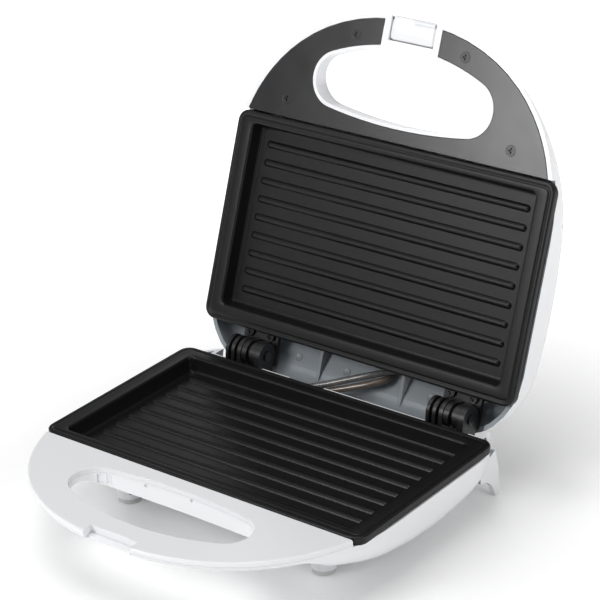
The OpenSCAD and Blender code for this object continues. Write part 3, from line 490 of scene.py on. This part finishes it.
# Grooves round the base ears leave thin slats, as on the moulded hinge; the lid knuckle has one
hinge = dict(x=71.5, ear=7.8, knuckle=7.2, grooveDeep=2.6, baseGrooves=((-9.9, -7.9), (-5.6, -3.6)),
             lidGroove=(2.6, 5.0), lidDeep=2.0, cutPast=2)


# A ring about the pin, from the radius r0 to r1 and from u0 to u1 along the pin, counted from x
def ringCut(x, u0, u1, r0, r1, place):
    points, faces = turned([(r0, u0), (r1, u0), (r1, u1), (r0, u1)], 40, ring=True)
    across, up, along = points.T
    spun = np.stack([along + x, across + toaster["hingeY"], up + toaster["hingeZ"]], -1)
    return place(spun), faces


# Inner faces of both housings take the darker inside white: painted shade
lidShell = dressedCopy("lid_housing", "lidShell", white, edges["housing"],
                       inside=(lidInside, paintedShadeWhite))
dressedCopy("base_housing", "baseShell", white, edges["housing"], cuts=fingerCuts(opening, pressed),
            inside=(baseInside, paintedShadeWhite))
dressedCopy("handle_cover", "handleCover", white, edges["cover"])
dressedCopy("lid_inner_cover", "innerCover", coverBlack, edges["blackCover"])
earCut = (hinge["ear"] - hinge["grooveDeep"], hinge["ear"] + hinge["cutPast"])
knuckleCut = (hinge["knuckle"] - hinge["lidDeep"], hinge["knuckle"] + hinge["cutPast"])
for side, c in (("left", -1), ("right", 1)):
    x = c * hinge["x"]
    grooves = [ringCut(x, *ends, *earCut, onTable) for ends in hinge["baseGrooves"]]
    dressedCopy("base_hinge_" + side, "baseHinge" + side.title(), hingeBlack, edges["hinge"],
                cuts=grooves)
    groove = ringCut(x, *hinge["lidGroove"], *knuckleCut, placeLid)
    dressedCopy("lid_hinge_" + side, "lidHinge" + side.title(), hingeBlack, edges["hinge"],
                cuts=[groove])
print("housings and hinges dressed")

plateForm = dict(
    width=218, depth=126, corner=7, gap=plateGap, trayX=98, trayFront=-56, trayRear=53, trayCorner=3.2,
    draft=1.4, floor=9.5, ridges=9, pitch=10.9, halfRidge=89, ridgeR=2.2, ridgeHigh=1.5, blend=0.35,
    skirt=5.0, cast=2.0, chamfer=0.3,
    foot=1.6, footShift=0.1, footTurn=0.92,  # fillet at the foot of the tray's wall
    wallLevels=(6.2, 4.0, 2.4), lip=1.5, lipStart=0.15, lipShift=1.6,
    bead=((4.4, 0), (3.9, 0.06), (3.6, 0.28), (3.1, 0.46), (2.6, 0.3), (2.3, 0.06), (1.9, 0), (1.1, 0)),
    edgeRound=1.1, edgeStart=0.2, skirtTop=3.2,
    # lines of the grid: beside a ridge, past the end of a ridge, and evenly between
    ridgeLines=(-3.4, -2.9, -2.5, -2.2, -2.0, -1.8, -1.5, -1.2, -0.8, -0.4, 0),
    endLines=(-4, -2, -1, 0, 0.4, 0.8, 1.2, 1.5, 1.8, 2.0, 2.2, 2.5), evenHalf=82, evenCount=42,
)


# A rounded rectangle, anticlockwise from the front left: straight sides cut in the shares spotsX and
# spotsY, each corner an arc of radius r in equal steps
def roundedLoop(x0, x1, y0, y1, r, spotsX, spotsY, arcSteps=8):
    t = np.linspace(0, np.pi / 2, arcSteps + 1)
    sides = []
    corners = [((x1 - r, y0 + r), -np.pi / 2), ((x1 - r, y1 - r), 0), ((x0 + r, y1 - r), np.pi / 2),
               ((x0 + r, y0 + r), np.pi)]
    starts = [((x0 + r, y0), (x1 - r, y0), spotsX), ((x1, y0 + r), (x1, y1 - r), spotsY),
              ((x1 - r, y1), (x0 + r, y1), 1 - spotsX[::-1]),
              ((x0, y1 - r), (x0, y0 + r), 1 - spotsY[::-1])]
    for ((ax, ay), (bx, by), spots), ((cx, cy), turn) in zip(starts, corners):
        sides.append(np.stack([ax + (bx - ax) * spots, ay + (by - ay) * spots], -1))
        sides.append(np.stack([cx + r * np.cos(t + turn), cy + r * np.sin(t + turn)], -1)[1:-1])
    return np.concatenate(sides)


# Height of the ridges over the tray: for the distance q to a ridge's line, sqrt(R^2 - q^2) less the depth
# of its centre below the floor, falling by 3 q beyond its flank, joined to the floor by a smooth maximum
def ridgeHeight(x, y, p):
    sunk = p["ridgeR"] - p["ridgeHigh"]
    middle = (p["trayFront"] + p["trayRear"]) / 2
    height = np.full(x.shape, -9.0)  # well under the floor
    along = np.maximum(np.abs(x) - p["halfRidge"], 0)
    for i in range(p["ridges"]):
        q = np.hypot(along, y - middle - (i - (p["ridges"] - 1) / 2) * p["pitch"])
        edge = 0.985 * p["ridgeR"]  # just short of the radius, where the root turns too steep
        inside = np.sqrt(np.maximum(p["ridgeR"] ** 2 - np.minimum(q, edge) ** 2, 0)) - sunk
        height = np.maximum(height, inside - np.maximum(q - edge, 0) * 3)
    k = p["blend"]
    share = np.clip(0.5 + height / (2 * k), 0, 1)
    return share * height + k * share * (1 - share)


# Tray floor on a grid of lines that crowd at the ridges; rings of rounded rectangles carry it up the
# tray's wall, over the rim and its bead, down the skirt and back under the tray
def plateMesh(p):
    middle = (p["trayFront"] + p["trayRear"]) / 2
    r = p["trayCorner"]
    inX, in0, in1 = p["trayX"] - r, p["trayFront"] + r, p["trayRear"] - r
    rows = [in0, in1]
    fine = np.array(p["ridgeLines"])
    fine = np.concatenate([fine, -fine[:-1][::-1]])
    for i in range(p["ridges"]):
        rows.extend(middle + (i - (p["ridges"] - 1) / 2) * p["pitch"] + fine)
    rows = np.unique(np.round([v for v in rows if in0 <= v <= in1], 4))
    ends = p["halfRidge"] + np.array(p["endLines"])
    even = np.linspace(-p["evenHalf"], p["evenHalf"], p["evenCount"])
    columns = np.unique(np.round(np.concatenate([-ends, even, ends, [-inX, inX]]), 4))
    x, y = np.meshgrid(columns, rows, indexing="ij")
    points = [np.stack([x, y, p["floor"] - ridgeHeight(x, y, p)], -1).reshape(-1, 3)]
    faces = [gridFaces(len(columns), len(rows))]

    spotsX = (columns + inX) / (2 * inX)
    spotsY = (rows - in0) / (in1 - in0)
    gap, floor, skirt, foot, cast, lip = (p[k] for k in ("gap", "floor", "skirt", "foot", "cast", "lip"))
    wallFoot = r - p["draft"]
    slope = p["draft"] / (floor - gap)
    profile = []  # (tray: outwards from the tray's middle part, edge: inwards from the plate's edge), depth
    for a in np.linspace(0, np.pi / 2 * p["footTurn"], 7):
        reach = wallFoot - foot + p["footShift"] + foot * np.sin(a)
        profile.append(("tray", reach, floor - foot * (1 - np.cos(a))))
    for z in p["wallLevels"]:
        profile.append(("tray", r - slope * (z - gap), z))
    for a in np.linspace(p["lipStart"], np.pi / 2, 6):
        reach = r - slope * p["lipShift"] + lip * (1 - np.cos(a))
        profile.append(("tray", reach, gap + lip * (1 - np.sin(a))))
    for inset, rise in p["bead"]:
        profile.append(("edge", inset, gap + rise))
    for a in np.linspace(p["edgeStart"], np.pi / 2, 5):
        profile.append(("edge", p["edgeRound"] * (1 - np.sin(a)), gap + p["edgeRound"] * (1 - np.cos(a))))
    chamfer = p["chamfer"]
    profile += [("edge", 0, p["skirtTop"]), ("edge", 0, skirt - chamfer), ("edge", chamfer, skirt),
                ("edge", cast - chamfer, skirt), ("edge", cast, skirt - chamfer),
                ("edge", cast, gap + cast), ("edge", 4.5, gap + cast), ("tray", r + cast, gap + 2.6),
                ("tray", r + 0.6, floor + 1.5), ("tray", r, floor + cast), ("tray", 0.0, floor + cast)]
    hw, hd = p["width"] / 2, p["depth"] / 2
    rings = []
    for kind, d, z in profile:
        if kind == "tray":
            loop = roundedLoop(-inX - d, inX + d, in0 - d, in1 + d, max(d, 1e-4), spotsX, spotsY)
        else:
            corner = max(p["corner"] - d, 1)
            loop = roundedLoop(-hw + d, hw - d, -hd + d, hd - d, corner, spotsX, spotsY)
        rings.append(np.column_stack([loop, np.full(len(loop), z)]))
    border = roundedLoop(-inX, inX, in0, in1, 0.0, spotsX, spotsY)
    first = np.column_stack([border, floor - ridgeHeight(border[:, 0], border[:, 1], p)])
    rings = np.array([first] + rings)
    start = len(points[0])
    points.append(rings.reshape(-1, 3))
    count = rings.shape[1]
    faces.append(gridFaces(len(rings), count, closeV=True, start=start))
    last = start + (len(rings) - 1) * count
    return np.concatenate(points), np.concatenate(faces).tolist() + [list(range(last, last + count))]


platePoints, plateFaces = plateMesh(plateForm)
for name, node, body, place in (("lowerPlate", "lower_plate", "base", placeBase),
                                ("upperPlate", "upper_plate", "lid", placeLid)):
    mesh = makeMesh(name, place(platePoints), plateFaces, merge=2e-6)
    addPiece(name, mesh, body, coating, [node])
print("plates made")

# The clip: its section (depth and height from the pin) carried along the lid's front edge
clip = dict(
    pinY=-132.2, pinZ=2.9, half=14.9, barrel=1.9, barrelTurn=(90, 232), thick=1.2, long=11.9,
    bulge=0.55, flare=0.15, hookAt=10.3, hookHigh=2.45, endRound=2.2, endShrink=1.1, middleY=5.5,
    ribX=(0.5, 14.2), ribHalf=1.1, ribFoot=1.5, ribHigh=2.55, ribRoot=0.9,
)


# Barrel: an arc about the pin. Face: thick + bulge sin(pi s) + flare (1 - s) under the pin, for the share
# s of its length. The hook's corners are cut off.
def clipSection(p):
    t = np.radians(np.linspace(*p["barrelTurn"], 12))
    barrel = np.stack([p["barrel"] * np.cos(t), p["barrel"] * np.sin(t)], -1)
    y = np.linspace(barrel[-1, 0] + 1.4, p["long"] - 0.8, 14)
    share = (y - y[0]) / (y[-1] - y[0])
    depth = p["thick"] + p["bulge"] * np.sin(np.pi * share) + p["flare"] * (1 - share)
    end, top, hook, thick = p["long"], p["hookHigh"], p["hookAt"], p["thick"]
    tip = [(end - 0.2, -1.0), (end, -0.5), (end, 1.9), (end - 0.25, top - 0.2), (end - 0.6, top),
           (hook + 0.25, top), (hook, top - 0.3), (hook, thick + 0.4), (hook - 0.4, thick), (1.6, thick)]
    return np.concatenate([barrel, np.stack([y, -depth], -1), tip])


# The section (y, z) from the pin, set at each x; both ends are closed
def alongEdge(sections, x, p):
    rings = [np.column_stack([np.full(len(q), at), q[:, 0] + p["pinY"], q[:, 1] + p["pinZ"]])
             for q, at in zip(sections, x)]
    count = len(sections[0])
    faces = gridFaces(len(x), count, closeV=True).tolist()
    faces += [list(range(count)), list(range((len(x) - 1) * count, len(x) * count))]
    return np.concatenate(rings), faces


# In the last stretch of each end, r long, the section shrinks by r (1 - sqrt(1 - e^2)), for the share e
# of the stretch that is behind it, but by no more than endShrink
def clipMesh(p):
    section = clipSection(p)
    middle = np.array([p["middleY"], 0.0])
    e = np.sin(np.linspace(0, np.pi / 2, 7))
    x = np.concatenate([-p["half"] + p["endRound"] * (1 - e[::-1]), np.linspace(-10, 10, 7),
                        p["half"] - p["endRound"] * (1 - e)])
    into = np.concatenate([e[::-1], np.zeros(7), e])
    inset = np.minimum(p["endRound"] * (1 - np.sqrt(np.maximum(1 - into ** 2, 0))), p["endShrink"])
    size = np.abs(section - middle).max(0)
    return alongEdge([middle + (section - middle) * ((size - d) / size) for d in inset], x, p)


# Thumb rib: half an ellipse on the clip's face, over the pin
def ribMesh(p):
    t = np.linspace(np.pi, 2 * np.pi, 9)
    arch = [p["ribHalf"] * np.cos(t), -p["ribFoot"] + (p["ribHigh"] - p["ribFoot"]) * np.sin(t)]
    root = [(p["ribHalf"], -p["ribRoot"]), (-p["ribHalf"], -p["ribRoot"])]
    section = np.concatenate([np.stack(arch, -1), root])
    return alongEdge([section] * 5, np.linspace(*p["ribX"], 5), p)


clipPoints, clipFaces = joined([clipMesh(clip), ribMesh(clip)])
addPiece("latchClip", makeMesh("latchClip", placeLid(clipPoints), clipFaces, sharp=50), "clip", white,
         ["latch"])

# Fold of the handle cover round the catch: hides the parting line there
catch = dict(half=16.0, rear=-127.0, front=-134.0, thick=0.35, z0=0.75, z1=4.95)
catchWall = catch["rear"] - catch["thick"]
folds = [boxPart(-catch["half"], catch["half"], catchWall, catch["rear"], catch["z0"], catch["z1"])]
for side in (-1, 1):
    a, b = sorted((side * (catch["half"] - catch["thick"]), side * catch["half"]))
    folds.append(boxPart(a, b, catch["front"], catchWall, catch["z0"], catch["z1"]))
foldPoints, foldFaces = joined(folds)
addPiece("catchFold", makeMesh("catchFold", placeBase(foldPoints), foldFaces, merge=1e-7), "base", white)
print("clip and catch made")

# Leads: the routes of the CAD tubes, from the base's block between the hinges to the lid's block. The
# second list of each is given as in the closed lid. flexFrom is not used.
leads = dict(radius=2.0, sides=20, steps=7, flexFrom=6)
routes = {
    "live": ([(-36, 50.1, -22.2), (-36, 52.4, -22.1), (-36, 54.9, -20.9), (-36, 57.2, -19.7),
              (-36, 61.2, -17.3), (-35, 64.6, -14.1), (-31.5, 66.9, -10), (-25, 69.8, -7.6),
              (-14, 74.3, -4.3), (-3, 78.5, -0.4), (8, 82.6, 3.5), (17, 88, 6)],
             [(22.6, 63.8, 15.4), (24, 60.3, 20), (24.5, 53.5, 22.2), (24.5, 46, 22.2),
              (24.5, 39.1, 22.2)]),
    "neutral": ([(-29, 50.1, -22.2), (-29, 52.4, -22.1), (-29, 54.9, -20.9), (-29, 57.2, -19.7),
                 (-29, 61.2, -17.3), (-28.4, 64.2, -14.8), (-26.5, 66.8, -12.2), (-21, 69.8, -10.6),
                 (-11, 74.6, -7.8), (0, 78.6, -4.4), (11, 82.6, -0.8), (18, 87.3, 1.8)],
                [(19.2, 67.7, 16), (18.4, 63.6, 18.2), (17.7, 59.8, 20.1), (17.5, 55.4, 21.5),
                 (17.5, 47, 22.2), (17.5, 39.1, 22.2)]),
}


# A smooth curve through the points, from b to c with a before and e after:
# (2b + (c-a)t + (2a-5b+4c-e)t^2 + (3b-a-3c+e)t^3) / 2
def smoothRoute(q, steps):
    q = np.concatenate([[2 * q[0] - q[1]], q, [2 * q[-1] - q[-2]]])
    a, b, c, e = q[:-3, None], q[1:-2, None], q[2:-1, None], q[3:, None]
    t = np.linspace(0, 1, steps, endpoint=False)[None, :, None]
    curve = 0.5 * (2 * b + (c - a) * t + (2 * a - 5 * b + 4 * c - e) * t ** 2
                   + (3 * b - a - 3 * c + e) * t ** 3)
    return np.concatenate([curve.reshape(-1, 3), q[-2:-1]])


# A tube along q: each ring is q + R (cos t side + sin t up), both square to the curve's way. The length
# along the lead and the turn t go with each point, for the braid.
def sleeveMesh(q, p):
    ways = np.gradient(q, axis=0)
    ways /= np.linalg.norm(ways, axis=1)[:, None]
    side = np.cross(ways, [0.3, 0.2, -1])
    side /= np.linalg.norm(side, axis=1)[:, None]
    up = np.cross(side, ways)
    t = np.linspace(0, 2 * np.pi, p["sides"], endpoint=False)
    across, above = np.cos(t)[None, :, None], np.sin(t)[None, :, None]
    ring = p["radius"] * (across * side[:, None] + above * up[:, None])
    count = p["sides"]
    faces = gridFaces(len(q), count, closeV=True).tolist()
    faces += [list(range(count)), list(range((len(q) - 1) * count, len(q) * count))]
    along = np.concatenate([[0], np.cumsum(np.linalg.norm(np.diff(q, axis=0), axis=1))]) / 1000
    shape = (len(q), count)
    attributes = {"along": np.broadcast_to(along[:, None], shape),
                  "turnCos": np.broadcast_to(np.cos(t), shape),
                  "turnSin": np.broadcast_to(np.sin(t), shape)}
    return (q[:, None] + ring).reshape(-1, 3), faces, attributes


darkSleeve = braidedSleeve("darkSleeve", (0.012, 0.011, 0.010), (0.26, 0.25, 0.24))
brownSleeve = braidedSleeve("brownSleeve", (0.032, 0.020, 0.014), (0.24, 0.17, 0.12))
sleeves = {"live": (darkSleeve, "sleeve_dark"), "neutral": (brownSleeve, "sleeve_brown")}
for wire, (inBase, inLid) in routes.items():
    inLid = openLid(np.array(inLid, float))
    line = smoothRoute(np.concatenate([inBase, inLid]), leads["steps"])
    points, faces, attributes = sleeveMesh(line, leads)
    name = "sleeve" + wire.title()
    material, slot = sleeves[wire]
    mesh = makeMesh(name, onTable(points), faces, attributes=attributes)
    piece = addPiece(name, mesh, None, material, ["jumper_lead_" + wire])
    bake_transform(piece)
    print("sleeve", wire, "is", round(float(attributes["along"].max()), 4), "m long")

# Round marks of the ejector pins inside the lid: low discs with a raised edge
ejector = dict(
    places=((-86, 72), (-47, 74), (-12, 74), (15, 74), (47, 74), (86, 72)), radius=2.6, high=0.35,
    dish=0.35, sunk=0.8, rayFrom=4.0, rayTo=40.0,
)


# The turned profile of a mark, set where a ray through the closed lid at (x, y) meets its inner wall,
# with its axis on the wall's normal
def ejectorMarks(p, shell):
    tree = BVHTree.FromObject(shell, bpy.context.evaluated_depsgraph_get())
    r, h = p["radius"], p["high"]
    profile = [(pole, p["dish"] * h), (r - 0.9, p["dish"] * h), (r - 0.6, h), (r - 0.15, h), (r, 0.6 * h),
               (r, -p["sunk"]), (pole, -p["sunk"])]
    parts = []
    for x, y in p["places"]:
        eye, aim = (Vector(placeLid([x, y, z])) for z in (p["rayFrom"], p["rayTo"]))
        hit, normal, _, _ = tree.ray_cast(eye, (aim - eye).normalized())
        if hit is None:
            continue
        points, faces = turned(profile, 24)
        axis = np.array(normal)
        side = np.cross(axis, [0.0, 1.0, 0.0])
        side /= np.linalg.norm(side)
        up = np.cross(axis, side)
        parts.append((np.array(hit) + points @ np.stack([side, up, axis]) / 1000, faces))
    return joined(parts)


bpy.context.view_layer.update()
markPoints, markFaces = ejectorMarks(ejector, lidShell)
# The marks take the darker inside white: painted shade, as on the lid's inner faces
addPiece("ejectorMarks", makeMesh("ejectorMarks", markPoints, markFaces, merge=1e-7), "lid", paintedShadeWhite)

# Lamp lenses: a shallow dome, half an ellipse of radius and dome, over the collar behind the lid's wall
lens = dict(x=9.0, y=-34.0, radius=3.5, collar=4.5, dome=0.9, top=31.07, deep=5.2, deepest=6.2)
t = np.linspace(0, np.pi / 2, 7)
lensProfile = [(max(lens["radius"] * math.sin(a), pole), lens["dome"] * math.cos(a)) for a in t]
lensProfile += [(lens["radius"], -lens["deep"]), (lens["collar"], -lens["deep"]),
                (lens["collar"], -lens["deepest"]), (pole, -lens["deepest"])]
for name, c, node in (("redLens", -1, "red_lens"), ("greenLens", 1, "green_lens")):
    points, faces = turned(lensProfile)
    points = placeLid(points + [c * lens["x"], lens["y"], lens["top"]])
    addPiece(name, makeMesh(name, points, faces), "lid", finishes[slotOf[node]], [node])
print("sleeves, marks and lenses made")

studio = dict(
    camera=(0.7447, -0.92548, 0.6755), azimuth=38.12, elevation=25.305, roll=-2.029, lens=145.70,
    shiftX=0.0033, shiftY=0.0201, floorSize=6.0, floorZ=-0.0004, ambient=0.24, backdrop=1.05,
    glow=((0.13, 0.05), (0.2, 0.17), (0.32, 0.42), (0.65, 0.72), (1.0, 0.93)),  # (metres away, light)
)
softboxes = {
    "topBox": dict(place=(-0.1, -0.25, 1.7), target=(0, 0, 0.1), size=(1.3, 1.2), power=13),
    "frontLeftPanel": dict(place=(-0.48, -1.1, 0.72), target=(0, 0.05, 0.18), size=(0.44, 0.62), power=8),
    "rightPanel": dict(place=(1.4, 0.0, 0.7), target=(0, 0, 0.12), size=(0.9, 1.0), power=5.8),
    "backLeftPanel": dict(place=(-0.62, 1.2, 0.74), target=(0, 0, 0.1), size=(0.7, 0.5), power=1.3),
}


# Object matrix from three axes and a place
def stand(thing, axes, place):
    matrix = Matrix.Identity(4)
    for i in range(3):
        for j, axis in enumerate(axes):
            matrix[i][j] = axis[i]
        matrix[i][3] = place[i]
    thing.matrix_world = matrix
    bpy.context.scene.collection.objects.link(thing)


# The camera's back axis from its azimuth and elevation; its right and up axes turned by the roll
def placeCamera(s):
    a, e, r = (math.radians(s[k]) for k in ("azimuth", "elevation", "roll"))
    back = np.array([math.sin(a) * math.cos(e), -math.cos(a) * math.cos(e), math.sin(e)])
    right = np.array([math.cos(a), math.sin(a), 0])
    up = np.cross(back, right)
    data = bpy.data.cameras.new("camera")
    data.lens, data.sensor_width, data.shift_x, data.shift_y = s["lens"], 36, s["shiftX"], s["shiftY"]
    data.clip_start, data.clip_end = 0.05, 50
    camera = bpy.data.objects.new("camera", data)
    turnedRight = right * math.cos(r) + up * math.sin(r)
    turnedUp = -right * math.sin(r) + up * math.cos(r)
    stand(camera, (turnedRight, turnedUp, back), s["camera"])
    bpy.context.scene.camera = camera


# An area light that looks from its place to its target
def softbox(name, place, target, size, power):
    data = bpy.data.lights.new(name, "AREA")
    data.shape, data.size, data.size_y, data.energy = "RECTANGLE", size[0], size[1], power
    back = np.array(place, float) - target
    back /= np.linalg.norm(back)
    right = np.cross([0, 0, 1.0], back)
    right /= np.linalg.norm(right)
    stand(bpy.data.objects.new(name, data), (right, np.cross(back, right), back), place)


# A pale square under the feet, whose own light grows with the distance from its middle
def makeFloor(s):
    half = s["floorSize"] / 2
    corners = ((-half, -half), (half, -half), (half, half), (-half, half))
    mesh = bpy.data.meshes.new("studioFloor")
    mesh.from_pydata([(x, y, s["floorZ"]) for x, y in corners], [], [(0, 1, 2, 3)])
    f = Finish("paleFloor", Base_Color=(0.96, 0.96, 0.96), Roughness=0.7, Emission_Color=(1, 1, 1),
               Specular_IOR_Level=0.1)
    away = f.add("ShaderNodeVectorMath", operation="LENGTH")
    f.link(f.place, away.inputs[0])
    f.set("Emission Strength", f.ramp(away.outputs["Value"], s["glow"]))
    mesh.materials.append(f.material)
    floor = bpy.data.objects.new("studioFloor", mesh)
    bpy.context.scene.collection.objects.link(floor)


placeCamera(studio)
makeFloor(studio)
for name, box in softboxes.items():
    softbox(name, **box)
world = bpy.data.worlds.new("studioWhite")
world.use_nodes = True
sky = world.node_tree.nodes["Background"]
sky.inputs["Color"].default_value = (1, 1, 1, 1)
seen = world.node_tree.nodes.new("ShaderNodeLightPath")
level = world.node_tree.nodes.new("ShaderNodeMapRange")  # white behind the object, dimmer as a light
level.inputs["To Min"].default_value = studio["ambient"]
level.inputs["To Max"].default_value = studio["backdrop"]
world.node_tree.links.new(seen.outputs["Is Camera Ray"], level.inputs["Value"])
world.node_tree.links.new(level.outputs["Result"], sky.inputs["Strength"])
scene = bpy.context.scene
scene.world = world
scene.view_settings.view_transform = "Standard"
print("studio lit")
